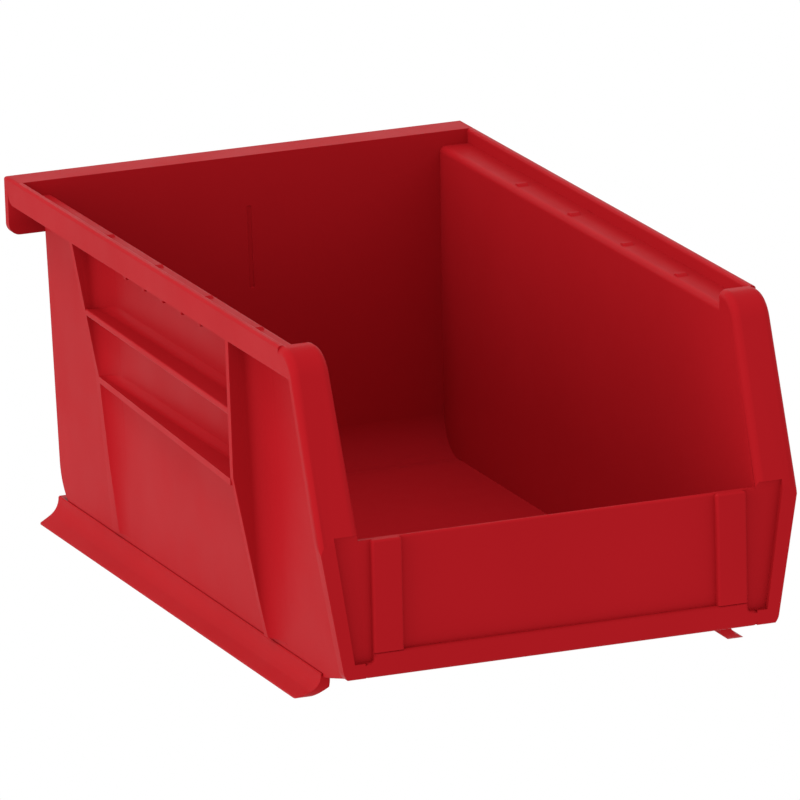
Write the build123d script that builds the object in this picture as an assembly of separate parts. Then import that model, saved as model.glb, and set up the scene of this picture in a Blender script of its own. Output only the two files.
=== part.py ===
from build123d import *
import math
import os

# Stack-and-hang storage bin, moulded in one shot of polypropylene.
# Millimetres.  +Z up, front (hopper opening) towards -Y, back (hanger) towards +Y,
# symmetric about X = 0, standing on Z = 0.
# Every node below is one region of the moulding; neighbours meet face to face.

# ---- overall sizes ----
length = 187.3            # front lip to back of hanger
width = 104.8             # across the rim
height = 76.2             # soles of the runners to top of the rim
wall = 1.8                # general wall thickness
draft = 0.0207            # sideways opening of the side walls per mm of height

# ---- side walls and floor ----
rim_overhang = 8.2        # rim outer face to inner face of the wall, at the ledge
floor_underside = 3.6     # height of the floor underside above the runner soles
heel_radius = 10.0        # outer radius where back wall turns into floor
toe_run = 26.2            # length of the sloping toe under the front
toe_rise = 6.1            # height gained by the toe

# ---- rim, ledge and flange ----
rim_below_ledge = 0.7     # the rim band reaches this far below the underside of the ledge
ledge_drop = 3.2          # rim top down to the stacking ledge
rim_round = 0.7
ledge_round = 1.4
front_wall_top = 38.6     # height of the front lip
slant_run = 13.4          # forward reach of the sloping front edge
front_thickness = 3.0     # front wall and flange, measured along Y
front_lean = 1.1          # front wall leans back this much towards its foot
flange_corner_radius = 7.0
flange_foot_inset = 5.1   # the foot of the flange lies this far inside the rim face
flange_edge_flat = 0.1    # left flat beside the rounded edges of the flange, at its thinnest
flange_foot_radius = 3.2
flange_foot_drop = 1.0    # flange outline below the front edge, before the toe cuts it

# ---- hanger ----
lip_thickness = 2.0
lip_height = 12.8
hanger_gap = 4.4          # slot between the lip and the back wall
lip_round = 2.5

# ---- label field on the front ----
label_inset = 18.0        # rim face to the label field
label_sill_top = 14.8
label_margin = 0.3        # the label face starts this far above the sill
post_inset = 11.4         # rim face to the outer edge of the posts beside the label field
recess_depth = 1.4
channel_sill_top = 12.8
flange_land = 3.4         # width of the raised edge strip beside the channel

# ---- runners ----
runner_clearance = 1.2    # runner to the inside of the rim of the bin below, each side
runner_back_end = 5.5     # from the back of the hanger
runner_front_inset = 22.0   # from the front lip
runner_proud = 0.5        # runner web outside the wall
runner_top = 5.8
runner_web = 2.0
flare_start = 3.0
sole_edge = 0.4           # height of the outer sole edge
runner_round = 2.4
runner_tip_radius = 5.2   # seen from the side, under the front end
flare_blend = 4.5

# ---- side ribs ----
rib = 1.8
rear_rib_face = 42.5      # from the back of the hanger to the front face
front_rib_inset = 49.8    # from the front lip to the front face
rib_foot = 6.9            # height at which the vertical ribs end
rear_rib_knee_proud = 2.3  # beyond the wall, level with the lower grip rib
front_rib_knee = 41.5
rib_foot_proud = 0.7
front_rib_foot_proud = 1.7
root_out = 3.2            # blend at the root of the vertical ribs, sideways
root_along = 8.0          # and along the wall
grip_rib = 1.4
upper_grip_drop = 20.2    # rim top to the top of the rib
lower_grip_drop = 35.2
grip_root = 1.8

# ---- small features ----
gusset_count = 5
gusset_first_share = 0.29  # share of the bay between the upright ribs
gusset_pitch_share = 0.1185
gusset_thickness = 1.5
gusset_below_band = 2.0
stop_count = 4
stop_first_share = 0.267   # share of the length, from the back
stop_pitch_share = 0.16
stop_length = 3.0
stop_width = 2.4
stop_height = 0.5
mark_width = 0.9
mark_depth = 0.2
mark_drop = 11.2          # rim top to the top of the mark
mark_length = 18.0

# ---- derived sizes ----
half_w = width / 2
back_face = length / 2
lip_inner = back_face - lip_thickness
wall_back = lip_inner - hanger_gap
wall_back_inner = wall_back - wall
front_face = -length / 2
ledge_top = height - ledge_drop
ledge_under = ledge_top - wall
rim_height = ledge_drop + wall + rim_below_ledge
band_low = height - rim_height
rim_inner = half_w - wall
inner_at_ledge = half_w - rim_overhang
flange_foot_width = half_w - flange_foot_inset
flange_edge_round = wall - flange_edge_flat
label_half_width = half_w - label_inset
post_half_width = half_w - post_inset
runner_half_width = rim_inner - runner_clearance
upper_grip_top = height - upper_grip_drop
lower_grip_top = height - lower_grip_drop
rear_rib_knee = lower_grip_top
mark_top = height - mark_drop
mark_bottom = mark_top - mark_length
floor_top = floor_underside + wall
front_foot_y = front_face + front_lean
toe_start = front_foot_y + toe_run
toe_end_z = floor_underside + toe_rise
slant_top_y = front_face + slant_run
lean = front_lean / (front_wall_top - toe_end_z)
toe_slope = toe_rise / toe_run
slant = slant_run / (height - front_wall_top)
corner_turn = math.atan2(height - front_wall_top, slant_run)
corner_tangent = flange_corner_radius * math.tan(corner_turn / 2)
flange_start = slant_top_y + corner_tangent
flange_end = flange_start + wall
ribs_back = back_face - rear_rib_face
ribs_front = front_face + front_rib_inset
runner_front = front_face + runner_front_inset
runner_back = back_face - runner_back_end
big = 2 * max(length, width, height)


def inner_x(z):
    """Inner face of the side wall at height z."""
    return inner_at_ledge - draft * (ledge_top - z)


def outer_x(z):
    """Outer face of the side wall at height z."""
    return inner_x(z) + wall


def poly(points):
    return make_face(Polyline(*points, close=True))


def prism_x(face, x0, x1):
    return extrude(Plane.YZ.offset(x0) * face, x1 - x0)


def prism_y(face, y0, y1):
    plane = Plane(origin=(0, y1, 0), x_dir=(1, 0, 0), z_dir=(0, -1, 0))
    return extrude(plane * face, y1 - y0)


def prism_z(face, z0, z1):
    return extrude(Plane.XY.offset(z0) * face, z1 - z0)


def block(x0, x1, y0, y1, z0, z1):
    return prism_z(poly([(x0, y0), (x1, y0), (x1, y1), (x0, y1)]), z0, z1)


def corner(face, x, y):
    """The corner of a flat face nearest to the point given."""
    return face.vertices().sort_by_distance((x, y, 0))[0]


def rounded(face, corners, radius):
    for x, y in corners:
        face = fillet(corner(face, x, y), radius)
    return face


def single(shape):
    """The one solid of a shape."""
    return shape.solids().sort_by(SortBy.VOLUME)[-1]


# ---- side profile shared by walls, floor and flange (Y, Z) ----
def toe_z(y):
    return floor_underside + toe_slope * (toe_start - y)


def front_y(z):
    return front_foot_y - lean * (z - toe_end_z)


profile = poly([
    (wall_back, ledge_under),
    (wall_back, floor_underside),
    (toe_start, floor_underside),
    (front_foot_y, toe_end_z),
    (front_face, front_wall_top),
    (slant_top_y, height),
    (flange_end, height),
    (flange_end, ledge_under),
])
profile = fillet(corner(profile, wall_back, floor_underside), heel_radius)

wall_zone = poly([
    (inner_x(-10), -10),
    (outer_x(-10), -10),
    (outer_x(height), height),
    (inner_x(height), height),
])
between_walls = poly([
    (-inner_x(-10), -10),
    (inner_x(-10), -10),
    (inner_x(height), height),
    (-inner_x(height), height),
])
filled_section = poly([
    (0, -10),
    (outer_x(-10), -10),
    (outer_x(height), height),
    (0, height),
])
between = prism_y(between_walls, -big, big)
filled_body = prism_x(profile, 0, half_w) & prism_y(filled_section, -big, big)

nodes = {}

# ---- front flange: a bent strip along the foot, the lip and the sloping edge ----
strip_outer = poly([
    (front_foot_y, toe_end_z),
    (front_face, front_wall_top),
    (slant_top_y, height),
    (flange_start + length, height),
    (flange_start + length, toe_end_z),
])
strip_outer = fillet(corner(strip_outer, slant_top_y, height), flange_corner_radius)
strip_inner = poly([
    (front_foot_y + front_thickness, -height),
    (front_foot_y + front_thickness, toe_end_z - toe_slope * front_thickness),
    (front_face + front_thickness, front_wall_top),
    (slant_top_y + front_thickness - slant * wall, height - wall),
    (flange_start + length, height - wall),
    (flange_start + length, -height),
])
strip_inner = fillet(
    corner(strip_inner, slant_top_y + front_thickness - slant * wall, height - wall),
    flange_corner_radius - wall,
)
toe_cut = poly([
    (toe_start, floor_underside),
    (toe_start - 2 * toe_run, floor_underside + 2 * toe_rise),
    (toe_start - 2 * toe_run, -height),
    (toe_start, -height),
])
flange_foot_z = toe_end_z - flange_foot_drop
flange_edge = poly([
    (inner_x(flange_foot_z), flange_foot_z),
    (inner_x(height), height),
    (half_w, height),
    (half_w, front_wall_top),
    (flange_foot_width, flange_foot_z),
])
flange_edge = rounded(flange_edge, [(flange_foot_width, flange_foot_z)], flange_foot_radius)
strip = prism_x(strip_outer, 0, half_w) - prism_x(strip_inner, 0, half_w)
strip = strip - prism_x(toe_cut, 0, half_w)
strip = strip & prism_y(flange_edge, front_face - 1, flange_end)
channel_face = poly([
    (post_half_width, channel_sill_top),
    (post_half_width, height),
    (half_w - flange_land, height),
    (half_w - flange_land, front_wall_top),
    (flange_foot_width - flange_land * 0.6, channel_sill_top),
])
channel_depth = poly([
    (front_foot_y - 5, toe_end_z),
    (front_foot_y + recess_depth, toe_end_z),
    (front_face + recess_depth, front_wall_top),
    (front_face + recess_depth - slant * recess_depth, front_wall_top + recess_depth),
    (front_foot_y - 5, front_wall_top + recess_depth),
])
channel = prism_y(channel_face, -big, 0) & prism_x(channel_depth, 0, half_w)
right_flange = single(strip - channel)


def sloping_edge(shape, x):
    """The front edge of the sloping part of the flange that runs closest to x."""
    edges = [
        e for e in shape.edges()
        if e.bounding_box().size.Z > (height - front_wall_top) / 2
        and e.center().Z > front_wall_top
        and abs(e.center().X - x) < wall
    ]
    return min(edges, key=lambda e: e.center().Y)


right_flange = single(fillet(sloping_edge(right_flange, half_w), flange_edge_round))
right_flange = single(fillet(sloping_edge(right_flange, inner_x(height)), flange_edge_round))
nodes["front_flange"] = right_flange

# ---- side wall ----
side = prism_x(profile, inner_x(0) - 2, half_w) & prism_y(wall_zone, -big, big)
side = side & prism_x(strip_inner, 0, half_w)
nodes["side_wall"] = single(side)

# ---- stacking ledge with its turned-up front end ----
ledge_section = poly([
    (inner_x(ledge_under), ledge_under),
    (rim_inner, ledge_under),
    (rim_inner, ledge_top),
    (inner_at_ledge, ledge_top),
])
ledge_section = rounded(ledge_section, [(inner_at_ledge, ledge_top)], ledge_round)
nodes["stacking_ledge"] = single(prism_y(ledge_section, flange_end, wall_back_inner))
end_section = poly([
    (outer_x(ledge_under), ledge_under),
    (rim_inner, ledge_under),
    (rim_inner, height - wall),
    (outer_x(height - wall), height - wall),
])
nodes["ledge_end_wall"] = single(prism_y(end_section, flange_start, flange_end) - strip)

# ---- rim band ----
band_section = rounded(
    poly([
        (rim_inner, band_low),
        (half_w, band_low),
        (half_w, height),
        (rim_inner, height),
    ]),
    [(half_w, height), (rim_inner, height)],
    rim_round,
)
band_profile = fillet(
    corner(
        poly([
            (lip_inner, band_low),
            (front_face, band_low),
            (front_face, height),
            (lip_inner, height),
        ]),
        lip_inner,
        band_low,
    ),
    rim_height / 2,
)
band = prism_y(band_section, front_face, lip_inner) & prism_x(band_profile, 0, half_w)
shelf_zone = block(0, half_w, wall_back_inner, lip_inner, height - wall, height)
nodes["rim_band"] = single((band & prism_x(strip_outer, 0, half_w)) - strip - shelf_zone)

# ---- vertical ribs on the outside of the side wall ----


def upright(face_y, outline):
    """Vertical rib whose front face is at face_y, with a long blend at its root."""
    base = outer_x(rib_foot) - 2 * wall
    tip = half_w + 2 * wall
    root_x = outer_x(ledge_under)
    edge = Polyline(
        (root_x, face_y - root_along),
        (base, face_y - root_along),
        (base, face_y + rib),
        (tip, face_y + rib),
        (tip, face_y),
        (root_x + root_out, face_y),
    )
    blend = Bezier(
        (root_x + root_out, face_y),
        (root_x, face_y),
        (root_x, face_y - root_along),
    )
    body = prism_z(make_face(edge + blend), 0, height)
    lean_axis = Axis((root_x, face_y, ledge_under), (0, 1, 0))
    body = body.rotate(lean_axis, math.degrees(math.atan(draft)))
    body = body & prism_y(poly(outline), -big, big)
    body = body & block(0, half_w, -big, big, rib_foot, ledge_under)
    return single(body - filled_body - nodes["rim_band"])


rear_outline = [
    (0, rib_foot),
    (outer_x(rib_foot) + rib_foot_proud, rib_foot),
    (outer_x(rear_rib_knee) + rear_rib_knee_proud, rear_rib_knee),
    (half_w, band_low),
    (half_w, height),
    (0, height),
]
front_outline = [
    (0, rib_foot),
    (outer_x(rib_foot) + front_rib_foot_proud, rib_foot),
    (half_w, front_rib_knee),
    (half_w, height),
    (0, height),
]
nodes["rear_rib"] = upright(ribs_back, rear_outline)
nodes["front_rib"] = upright(ribs_front, front_outline)

# ---- horizontal grip ribs ----


def rear_rib_edge(z):
    low_x = outer_x(rear_rib_knee) + rear_rib_knee_proud
    share = (z - rear_rib_knee) / (band_low - rear_rib_knee)
    return low_x + (half_w - low_x) * share


def grip(top):
    base = outer_x(top) - wall
    root = outer_x(top + grip_root)
    outline = Polyline(
        (root, top + grip_root),
        (base, top + grip_root),
        (base, top - grip_rib),
        (half_w, top - grip_rib),
        (half_w, top),
        (root + grip_root, top),
    )
    arc = RadiusArc((root + grip_root, top), (root, top + grip_root), grip_root)
    if arc.center().X > root + grip_root * 0.5:
        arc = RadiusArc((root + grip_root, top), (root, top + grip_root), -grip_root)
    bar = prism_y(make_face(outline + arc), ribs_front + rib, ribs_back)
    plan = poly([
        (0, ribs_front),
        (half_w, ribs_front),
        (half_w, ribs_front + rib),
        (rear_rib_edge(top), ribs_back),
        (0, ribs_back),
    ])
    bar = bar & prism_z(plan, 0, height)
    return single(bar - filled_body - nodes["rear_rib"])


nodes["upper_grip_rib"] = grip(upper_grip_top)
nodes["lower_grip_rib"] = grip(lower_grip_top)

# ---- flared stacking runner ----
runner_x = outer_x(floor_underside) + runner_proud
runner_section = poly([
    (runner_x - runner_web, runner_top),
    (runner_x - runner_proud / 2, runner_top),
    (runner_x, runner_top - runner_proud / 2),
    (runner_x, flare_start),
    (runner_half_width, sole_edge),
    (runner_half_width, 0),
    (runner_half_width - 3.0, 0),
    (runner_x - runner_web, flare_start - sole_edge),
])
runner_section = rounded(runner_section, [(runner_x, flare_start)], flare_blend)
runner_plan = rounded(
    poly([
        (runner_x - runner_web - 1, runner_front),
        (runner_half_width, runner_front),
        (runner_half_width, runner_back),
        (runner_x - runner_web - 1, runner_back),
    ]),
    [(runner_half_width, runner_front)],
    runner_round,
)
runner = prism_y(runner_section, runner_front, runner_back)
runner = runner & prism_z(runner_plan, 0, height)
runner_side = rounded(
    poly([
        (runner_front, 0),
        (back_face, 0),
        (back_face, runner_top),
        (runner_front, runner_top),
    ]),
    [(runner_front, 0)],
    runner_tip_radius,
)
runner = runner & prism_x(runner_side, 0, half_w)
nodes["runner"] = single(runner - filled_body)

# ---- gussets under the ledge, between wall and rim band ----
for index in range(gusset_count):
    share = gusset_first_share + index * gusset_pitch_share
    y = ribs_back - share * (ribs_back - ribs_front)
    fin = block(
        inner_at_ledge,
        rim_inner,
        y - gusset_thickness / 2,
        y + gusset_thickness / 2,
        band_low - gusset_below_band,
        ledge_under,
    )
    nodes[f"rim_gusset_{index + 1}"] = single(fin - filled_body)

# ---- anti-slide stops on the ledge ----
for index in range(stop_count):
    y = back_face - length * (stop_first_share + index * stop_pitch_share)
    ramp = poly([
        (y - stop_length / 2, ledge_top),
        (y + stop_length / 2, ledge_top),
        (y + stop_length / 6, ledge_top + stop_height),
        (y - stop_length / 6, ledge_top + stop_height),
    ])
    stop_x = inner_at_ledge + ledge_round
    nodes[f"ledge_stop_{index + 1}"] = prism_x(ramp, stop_x, stop_x + stop_width)

# ---- right-hand and left-hand copies ----
parts = {}
for name, solid in nodes.items():
    parts[f"right_{name}"] = solid
    parts[f"left_{name}"] = mirror(solid, about=Plane.YZ)

# ---- floor, toe, heel and back wall between the side walls ----
heel_y = wall_back - heel_radius
heel_z = floor_underside + heel_radius
parts["floor_panel"] = single(
    block(-half_w, half_w, toe_start, heel_y, floor_underside, floor_top) & between
)
front_inner_foot_y = front_foot_y + front_thickness
toe_face = poly([
    (toe_start, floor_underside),
    (toe_start, floor_top),
    (front_inner_foot_y - toe_run, floor_top + toe_slope * (toe_start - front_inner_foot_y + toe_run)),
    (front_inner_foot_y - toe_run, toe_z(front_inner_foot_y - toe_run)),
])
toe = prism_x(toe_face, -half_w, half_w) & between & prism_x(strip_inner, -half_w, half_w)
parts["toe_ramp"] = single(toe)
heel_ring = Pos(heel_y, heel_z) * Circle(heel_radius)
heel_ring = heel_ring - Pos(heel_y, heel_z) * Circle(heel_radius - wall)
heel_face = heel_ring & poly([
    (heel_y, heel_z),
    (heel_y + 2 * heel_radius, heel_z),
    (heel_y + 2 * heel_radius, heel_z - 2 * heel_radius),
    (heel_y, heel_z - 2 * heel_radius),
])
parts["heel_curve"] = single(prism_x(heel_face, -half_w, half_w) & between)
back = block(-half_w, half_w, wall_back_inner, wall_back, heel_z, ledge_under) & between
mark = block(-mark_width / 2, mark_width / 2, wall_back_inner - 1,
             wall_back_inner + mark_depth, mark_bottom, mark_top)
parts["back_wall"] = single(back - mark)
parts["back_wall_head"] = block(
    -rim_inner, rim_inner, wall_back_inner, wall_back, ledge_under, height - wall
)

# ---- hanger ----
shelf_face = rounded(
    poly([
        (wall_back_inner, height - wall),
        (lip_inner, height - wall),
        (lip_inner, height),
        (wall_back_inner, height),
    ]),
    [(wall_back_inner, height)],
    rim_round,
)
shelf_outline = rounded(
    poly([
        (-half_w, height - wall),
        (half_w, height - wall),
        (half_w, height),
        (-half_w, height),
    ]),
    [(-half_w, height), (half_w, height)],
    rim_round,
)
shelf = prism_x(shelf_face, -half_w, half_w)
parts["hanger_shelf"] = single(shelf & prism_y(shelf_outline, wall_back_inner, lip_inner))
lip_face = rounded(
    poly([
        (lip_inner, height - lip_height),
        (back_face, height - lip_height),
        (back_face, height),
        (lip_inner, height),
    ]),
    [(back_face, height), (back_face, height - lip_height)],
    rim_round,
)
lip_outline = rounded(
    poly([
        (-half_w, height - lip_height),
        (half_w, height - lip_height),
        (half_w, height),
        (-half_w, height),
    ]),
    [(-half_w, height - lip_height), (half_w, height - lip_height)],
    lip_round,
)
lip_outline = rounded(lip_outline, [(-half_w, height), (half_w, height)], rim_round)
lip = prism_x(lip_face, -half_w, half_w) & prism_y(lip_outline, lip_inner, back_face)
parts["hanger_lip"] = single(lip)

# ---- front wall and the raised frame of the label field ----
panel_face = poly([
    (front_inner_foot_y, toe_end_z - toe_slope * front_thickness),
    (front_foot_y + recess_depth, toe_end_z - toe_slope * recess_depth),
    (front_face + recess_depth, front_wall_top),
    (front_face + front_thickness, front_wall_top),
])
panel = prism_x(panel_face, -half_w, half_w) & between
label_zone = block(
    -label_half_width, label_half_width, -big, 0, label_sill_top + label_margin, height
)
parts["front_wall"] = single(panel - label_zone)
parts["label_panel"] = single(panel & label_zone)
frame_face = poly([
    (front_foot_y + recess_depth, toe_end_z - toe_slope * recess_depth),
    (front_foot_y, toe_end_z),
    (front_face, front_wall_top),
    (front_face + recess_depth, front_wall_top),
])
frame = prism_x(frame_face, -half_w, half_w) & between
sill_zone = poly([
    (-half_w, 0),
    (half_w, 0),
    (half_w, channel_sill_top),
    (post_half_width, channel_sill_top),
    (post_half_width, label_sill_top),
    (-post_half_width, label_sill_top),
    (-post_half_width, channel_sill_top),
    (-half_w, channel_sill_top),
])
parts["label_sill"] = single(frame & prism_y(sill_zone, -big, big))
post = block(label_half_width, post_half_width, -big, 0, label_sill_top, height)
parts["right_label_post"] = single(frame & post)
parts["left_label_post"] = mirror(parts["right_label_post"], about=Plane.YZ)

# ---- write one file per node ----
os.makedirs("parts", exist_ok=True)
for name, solid in sorted(parts.items()):
    solid.label = name
    export_step(solid, f"parts/{name}.step")
    box = solid.bounding_box()
    print(name, round(solid.volume, 1), box.min, box.max)
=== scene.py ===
import math

import bmesh
import bpy
from mathutils import Matrix, Vector
from mathutils.bvhtree import BVHTree


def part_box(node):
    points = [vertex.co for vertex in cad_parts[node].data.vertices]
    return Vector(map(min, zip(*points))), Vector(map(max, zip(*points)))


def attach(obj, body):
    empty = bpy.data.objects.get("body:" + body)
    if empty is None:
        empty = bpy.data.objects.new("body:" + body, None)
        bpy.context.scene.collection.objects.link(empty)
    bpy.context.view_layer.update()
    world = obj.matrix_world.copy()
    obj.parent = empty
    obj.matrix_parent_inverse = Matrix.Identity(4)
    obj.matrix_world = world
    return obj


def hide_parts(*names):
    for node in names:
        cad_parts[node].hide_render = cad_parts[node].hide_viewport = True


# Stack-and-hang storage bin, injection moulded in red polypropylene.
# Metres.  Front (hopper opening) towards -Y, hanger towards +Y, standing on Z = 0.

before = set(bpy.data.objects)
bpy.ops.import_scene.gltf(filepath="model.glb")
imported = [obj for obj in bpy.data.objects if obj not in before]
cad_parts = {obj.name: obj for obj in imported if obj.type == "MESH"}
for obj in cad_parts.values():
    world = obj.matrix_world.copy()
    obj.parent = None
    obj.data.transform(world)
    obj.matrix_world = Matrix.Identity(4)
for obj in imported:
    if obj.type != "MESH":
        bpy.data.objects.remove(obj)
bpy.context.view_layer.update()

MM = 0.001
BODY = "root"


# ---------------------------------------------------------------- small tools
def linear(hex_colour):
    """sRGB hex to the linear colour that shaders use."""
    channels = []
    for start in (0, 2, 4):
        value = int(hex_colour[start:start + 2], 16) / 255
        low = value / 12.92
        high = ((value + 0.055) / 1.055) ** 2.4
        channels.append(low if value <= 0.04045 else high)
    return (*channels, 1.0)


def add(tree, kind, settings=None, links=None, **values):
    """Adds a node with its settings, its socket values and the links into it."""
    node = tree.nodes.new(kind)
    for key, value in (settings or {}).items():
        setattr(node, key, value)
    for key, value in values.items():
        node.inputs[key.replace("_", " ")].default_value = value
    for key, source in (links or {}).items():
        tree.links.new(source, node.inputs[key])
    return node


# ---------------------------------------------------------------- materials
CLOUD_SIZE = 35 * MM
POLISH_SIZE = 12 * MM
SINK_SIZE = 22 * MM
SINK_DEPTH = 0.10 * MM
SMOOTHER, ROUGHER = 0.04, 0.05  # roughness lost and gained where the tool's polish differs
PLASTIC_IOR = 1.49
# kept well under real polypropylene's gloss, so that flat walls don't pale at a low angle
SPECULAR_LEVEL = 0.015
SPECULAR_TINT = "FF7070"


def moulded_polypropylene(name, deep, bright, roughness, grain_mm, grain_depth_mm):
    """Polypropylene, injection moulded in a lightly polished tool and pigmented in the mass."""
    material = bpy.data.materials.new(name)
    material.use_nodes = True
    tree = material.node_tree
    tree.nodes.clear()
    place = add(tree, "ShaderNodeTexCoord").outputs["Object"]

    # pigment spread in the melt: soft clouds, hardly lighter or darker
    cloud = add(
        tree, "ShaderNodeTexNoise", {"noise_dimensions": "3D"}, {"Vector": place},
        Scale=1 / CLOUD_SIZE, Detail=2.0, Roughness=0.45,
    )
    colour = add(
        tree, "ShaderNodeMix", {"data_type": "RGBA"}, {0: cloud.outputs["Fac"]},
    )
    colour.inputs[6].default_value = linear(deep)
    colour.inputs[7].default_value = linear(bright)

    # the tool's polish differs from place to place, so the gloss does too
    polish = add(
        tree, "ShaderNodeTexNoise", None, {"Vector": place},
        Scale=1 / POLISH_SIZE, Detail=3.0, Roughness=0.5,
    )
    gloss = add(
        tree, "ShaderNodeMapRange", None, {"Value": polish.outputs["Fac"]},
        From_Min=0.3, From_Max=0.7, To_Min=roughness - SMOOTHER, To_Max=roughness + ROUGHER,
    )

    # fine grain of the tool steel, under long soft sink waves over the ribs
    grain = add(
        tree, "ShaderNodeTexNoise", None, {"Vector": place},
        Scale=1 / (grain_mm * MM), Detail=2.0, Roughness=0.6,
    )
    wave = add(
        tree, "ShaderNodeTexNoise", None, {"Vector": place},
        Scale=1 / SINK_SIZE, Detail=1.0, Roughness=0.4,
    )
    sink = add(
        tree, "ShaderNodeBump", None, {"Height": wave.outputs["Fac"]},
        Strength=1.0, Distance=SINK_DEPTH,
    )
    skin = add(
        tree, "ShaderNodeBump", None,
        {"Height": grain.outputs["Fac"], "Normal": sink.outputs["Normal"]},
        Strength=1.0, Distance=grain_depth_mm * MM,
    )
    shader = add(
        tree, "ShaderNodeBsdfPrincipled", None,
        {
            "Base Color": colour.outputs[2],
            "Roughness": gloss.outputs["Result"],
            "Normal": skin.outputs["Normal"],
        },
        IOR=PLASTIC_IOR, Specular_IOR_Level=SPECULAR_LEVEL, Specular_Tint=linear(SPECULAR_TINT),
    )
    add(
        tree, "ShaderNodeOutputMaterial", None, {"Surface": shader.outputs["BSDF"]},
    )
    return material


POLISHED = moulded_polypropylene(
    "moulded_red_polypropylene", "A0161C", "A91920", 0.36, 0.45, 0.010,
)
RUBBED = moulded_polypropylene(
    "rubbed_red_polypropylene", "A0161C", "AA1A20", 0.40, 0.35, 0.020,
)


# ---------------------------------------------------------------- moulded copies of the regions
WELD = 0.0005 * MM            # vertices this close are one
TOUCH = 0.02 * MM             # regions this close meet
SAMPLES = 9                   # points tried along an edge for a neighbour
SHARP = math.radians(32)      # edges sharper than this are rounded
FLAT = math.radians(0.5)      # faces this close to level with each other are joined
SHADE_SHARP = math.radians(40)
BEVEL_SEGMENTS = 3

trees = {
    name: BVHTree.FromPolygons(
        [vertex.co for vertex in node.data.vertices],
        [tuple(face.vertices) for face in node.data.polygons],
    )
    for name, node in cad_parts.items()
}
boxes = {name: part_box(name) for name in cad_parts}


def neighbours(node):
    """The nodes whose boxes touch this one's."""
    low, high = boxes[node]
    found = []
    for other, (other_low, other_high) in boxes.items():
        apart = any(
            other_low[i] > high[i] + TOUCH or other_high[i] < low[i] - TOUCH for i in range(3)
        )
        if other != node and not apart:
            found.append(trees[other])
    return found


def on_seam(edge, near):
    """True if most of the edge lies on a neighbouring region, so it is inside the plastic."""
    start, end = (vertex.co for vertex in edge.verts)
    touching = 0
    for step in range(1, SAMPLES + 1):
        point = start.lerp(end, step / (SAMPLES + 1))
        touching += any(tree.find_nearest(point, TOUCH)[0] is not None for tree in near)
    return touching * 2 > SAMPLES


def rounded_region(node, radius):
    """The node's shape as a bmesh, with the edges that show rounded as a mould leaves them."""
    shape = bmesh.new()
    shape.from_mesh(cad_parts[node].data)
    bmesh.ops.remove_doubles(shape, verts=shape.verts, dist=WELD)
    bmesh.ops.dissolve_limit(
        shape, angle_limit=FLAT, verts=shape.verts, edges=shape.edges,
    )
    near = neighbours(node)
    open_edges = [
        edge for edge in shape.edges
        if edge.is_manifold and edge.calc_face_angle(0) > SHARP and not on_seam(edge, near)
    ]
    if open_edges:
        bmesh.ops.bevel(
            shape, geom=open_edges, offset=radius, offset_type="OFFSET",
            segments=BEVEL_SEGMENTS, profile=0.5, affect="EDGES", clamp_overlap=True,
            miter_outer="ARC",
        )
    return shape


def finish_piece(piece, material):
    """Shading, material and body of a finished piece."""
    mesh = piece.data
    mesh.materials.clear()
    mesh.materials.append(material)
    for face in mesh.polygons:
        face.use_smooth = True
        face.material_index = 0
    mesh.set_sharp_from_angle(angle=SHADE_SHARP)
    evening = piece.modifiers.new("flat faces stay flat", "WEIGHTED_NORMAL")
    evening.mode = "FACE_AREA"
    evening.weight = 100
    evening.keep_sharp = True
    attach(piece, BODY)


def new_piece(name, shape):
    """A new object holding the bmesh, which is freed."""
    mesh = bpy.data.meshes.new(name)
    shape.to_mesh(mesh)
    shape.free()
    piece = bpy.data.objects.new(name, mesh)
    bpy.context.scene.collection.objects.link(piece)
    return piece


# edge radius of each region, in mm
EDGE_RADIUS = {
    "back_wall": 0.25,
    "back_wall_head": 0.3,
    "floor_panel": 0.3,
    "front_wall": 0.45,
    "label_panel": 0.6,
    "label_sill": 0.6,
    "label_post": 0.6,
    "toe_ramp": 0.4,
    "heel_curve": 0.3,
    "hanger_lip": 0.35,
    "hanger_shelf": 0.35,
    "front_flange": 0.4,
    "ledge_end_wall": 0.4,
    "front_rib": 0.35,
    "rear_rib": 0.35,
    "upper_grip_rib": 0.3,
    "lower_grip_rib": 0.3,
    "rim_band": 0.3,
    "side_wall": 0.3,
    "stacking_ledge": 0.4,
    "runner": 0.3,
}

for node in sorted(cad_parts):
    region = node.removeprefix("left_").removeprefix("right_")
    if region in EDGE_RADIUS:
        piece = new_piece(f"moulded_{node}", rounded_region(node, EDGE_RADIUS[region] * MM))
        finish_piece(piece, RUBBED if region == "runner" else POLISHED)
        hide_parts(node)


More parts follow.
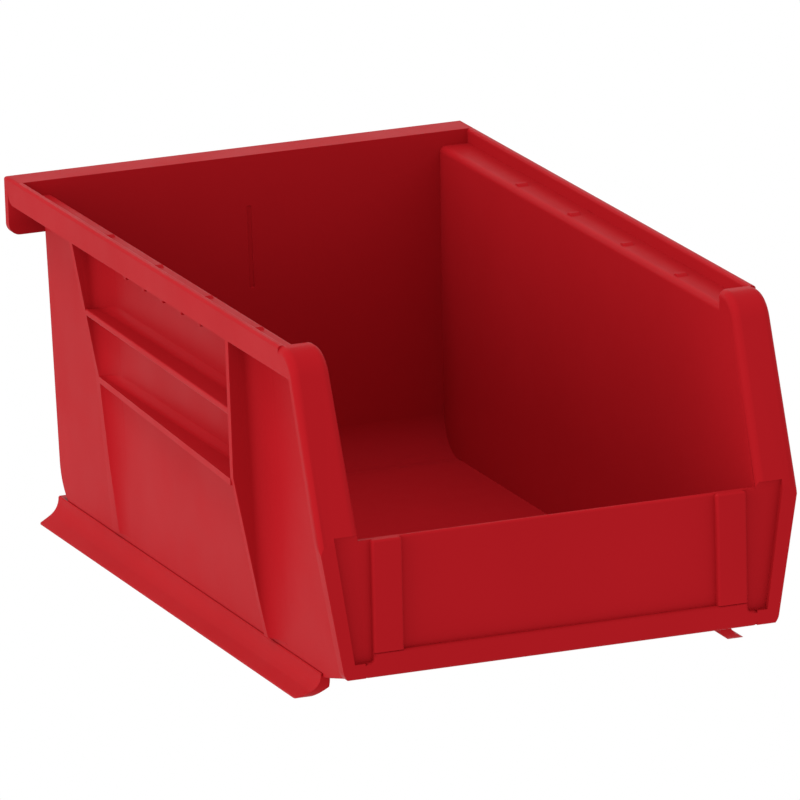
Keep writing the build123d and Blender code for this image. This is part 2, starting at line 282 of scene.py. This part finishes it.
# ---------------------------------------------------------------- repeated details
def repeat_tree():
    """Geometry nodes: the incoming shape set out in a row, count times, step apart."""
    tree = bpy.data.node_groups.new("details_in_a_row", "GeometryNodeTree")
    sockets = tree.interface
    sockets.new_socket("Geometry", in_out="INPUT", socket_type="NodeSocketGeometry")
    sockets.new_socket("Count", in_out="INPUT", socket_type="NodeSocketInt")
    sockets.new_socket("Step", in_out="INPUT", socket_type="NodeSocketVector")
    sockets.new_socket("Material", in_out="INPUT", socket_type="NodeSocketMaterial")
    sockets.new_socket("Geometry", in_out="OUTPUT", socket_type="NodeSocketGeometry")
    given = add(tree, "NodeGroupInput").outputs
    row = add(
        tree, "GeometryNodeMeshLine", {"mode": "OFFSET"},
        {"Count": given["Count"], "Offset": given["Step"]},
    )
    copies = add(
        tree, "GeometryNodeInstanceOnPoints", None,
        {"Points": row.outputs["Mesh"], "Instance": given["Geometry"]},
    )
    real = add(
        tree, "GeometryNodeRealizeInstances", None, {"Geometry": copies.outputs["Instances"]},
    )
    coloured = add(
        tree, "GeometryNodeSetMaterial", None,
        {"Geometry": real.outputs["Geometry"], "Material": given["Material"]},
    )
    add(tree, "NodeGroupOutput", None, {"Geometry": coloured.outputs["Geometry"]})
    return tree


ROW = repeat_tree()
STOP_RADIUS = 0.25 * MM
GUSSET_RADIUS = 0.2 * MM


def row_of(name, detail, radius, material):
    """One piece holding every copy of a small detail on both sides, from its first node."""
    numbers = sorted(
        int(node.rsplit("_", 1)[1]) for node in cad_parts
        if node.startswith(f"right_{detail}_")
    )
    first = boxes[f"right_{detail}_1"][0]
    second = boxes[f"right_{detail}_2"][0]
    pair = bmesh.new()
    for side in ("left", "right"):
        half = rounded_region(f"{side}_{detail}_1", radius)
        part = bpy.data.meshes.new("half")
        half.to_mesh(part)
        half.free()
        pair.from_mesh(part)
        bpy.data.meshes.remove(part)
    seed = new_piece(f"{name}_seed", pair)
    maker = seed.modifiers.new("row", "NODES")
    maker.node_group = ROW
    values = {"Count": len(numbers), "Step": Vector(second) - Vector(first), "Material": material}
    for socket in ROW.interface.items_tree:
        if socket.in_out == "INPUT" and socket.name in values:
            maker[socket.identifier] = values[socket.name]
    evaluated = seed.evaluated_get(bpy.context.evaluated_depsgraph_get())
    mesh = bpy.data.meshes.new_from_object(evaluated)
    bpy.data.objects.remove(seed)
    piece = bpy.data.objects.new(name, mesh)
    bpy.context.scene.collection.objects.link(piece)
    finish_piece(piece, material)
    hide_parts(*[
        f"{side}_{detail}_{number}" for side in ("left", "right") for number in numbers
    ])


row_of("ledge_stops", "ledge_stop", STOP_RADIUS, POLISHED)
row_of("rim_gussets", "rim_gusset", GUSSET_RADIUS, POLISHED)


# ---------------------------------------------------------------- light and camera
def softbox(name, place, aim, size, power):
    """An area light at place, turned towards aim."""
    light = bpy.data.lights.new(name, "AREA")
    light.shape = "RECTANGLE"
    light.size, light.size_y = size
    light.energy = power
    lamp = bpy.data.objects.new(name, light)
    lamp.location = place
    direction = Vector(aim) - Vector(place)
    lamp.rotation_euler = direction.to_track_quat("-Z", "Y").to_euler()
    bpy.context.scene.collection.objects.link(lamp)


CAMERA_PLACE = (-0.98401, -2.64289, 0.76891)
CAMERA_RIGHT = (0.933257, -0.357496, -0.035039)
CAMERA_FORWARD = (0.338189, 0.907333, -0.249753)
FOCAL_LENGTH_MM = 626.1
SENSOR_WIDTH_MM = 36.0


def camera():
    """A camera with a long lens and no shift; its right, up and back axes are the columns."""
    right = Vector(CAMERA_RIGHT).normalized()
    back = -Vector(CAMERA_FORWARD).normalized()
    up = back.cross(right).normalized()
    right = up.cross(back)
    turned = Matrix((right, up, back)).transposed().to_4x4()
    place = Matrix.Translation(CAMERA_PLACE)
    lens = bpy.data.cameras.new("studio_camera")
    lens.sensor_width = SENSOR_WIDTH_MM
    lens.lens = FOCAL_LENGTH_MM
    lens.clip_start = 0.05
    lens.clip_end = 50.0
    stand = bpy.data.objects.new("studio_camera", lens)
    stand.matrix_world = place @ turned
    bpy.context.scene.collection.objects.link(stand)
    bpy.context.scene.camera = stand


def sky(shade, strength):
    """Even surroundings, shown with the plain sRGB view so that white stays white."""
    world = bpy.data.worlds.new("studio_white")
    world.use_nodes = True
    sky_node = world.node_tree.nodes["Background"]
    sky_node.inputs["Color"].default_value = linear(shade)
    sky_node.inputs["Strength"].default_value = strength
    bpy.context.scene.world = world
    bpy.context.scene.view_settings.view_transform = "Standard"


sky("FFFFFF", 1.0)
# name, place, aim, size in metres, watts
softbox("left_softbox", (-1.5, -0.35, 0.45), (0, 0, 0.03), (0.8, 0.8), 8)
softbox("top_light", (-0.55, 0.15, 1.2), (0.02, 0, 0), (0.3, 0.3), 3.5)
camera()
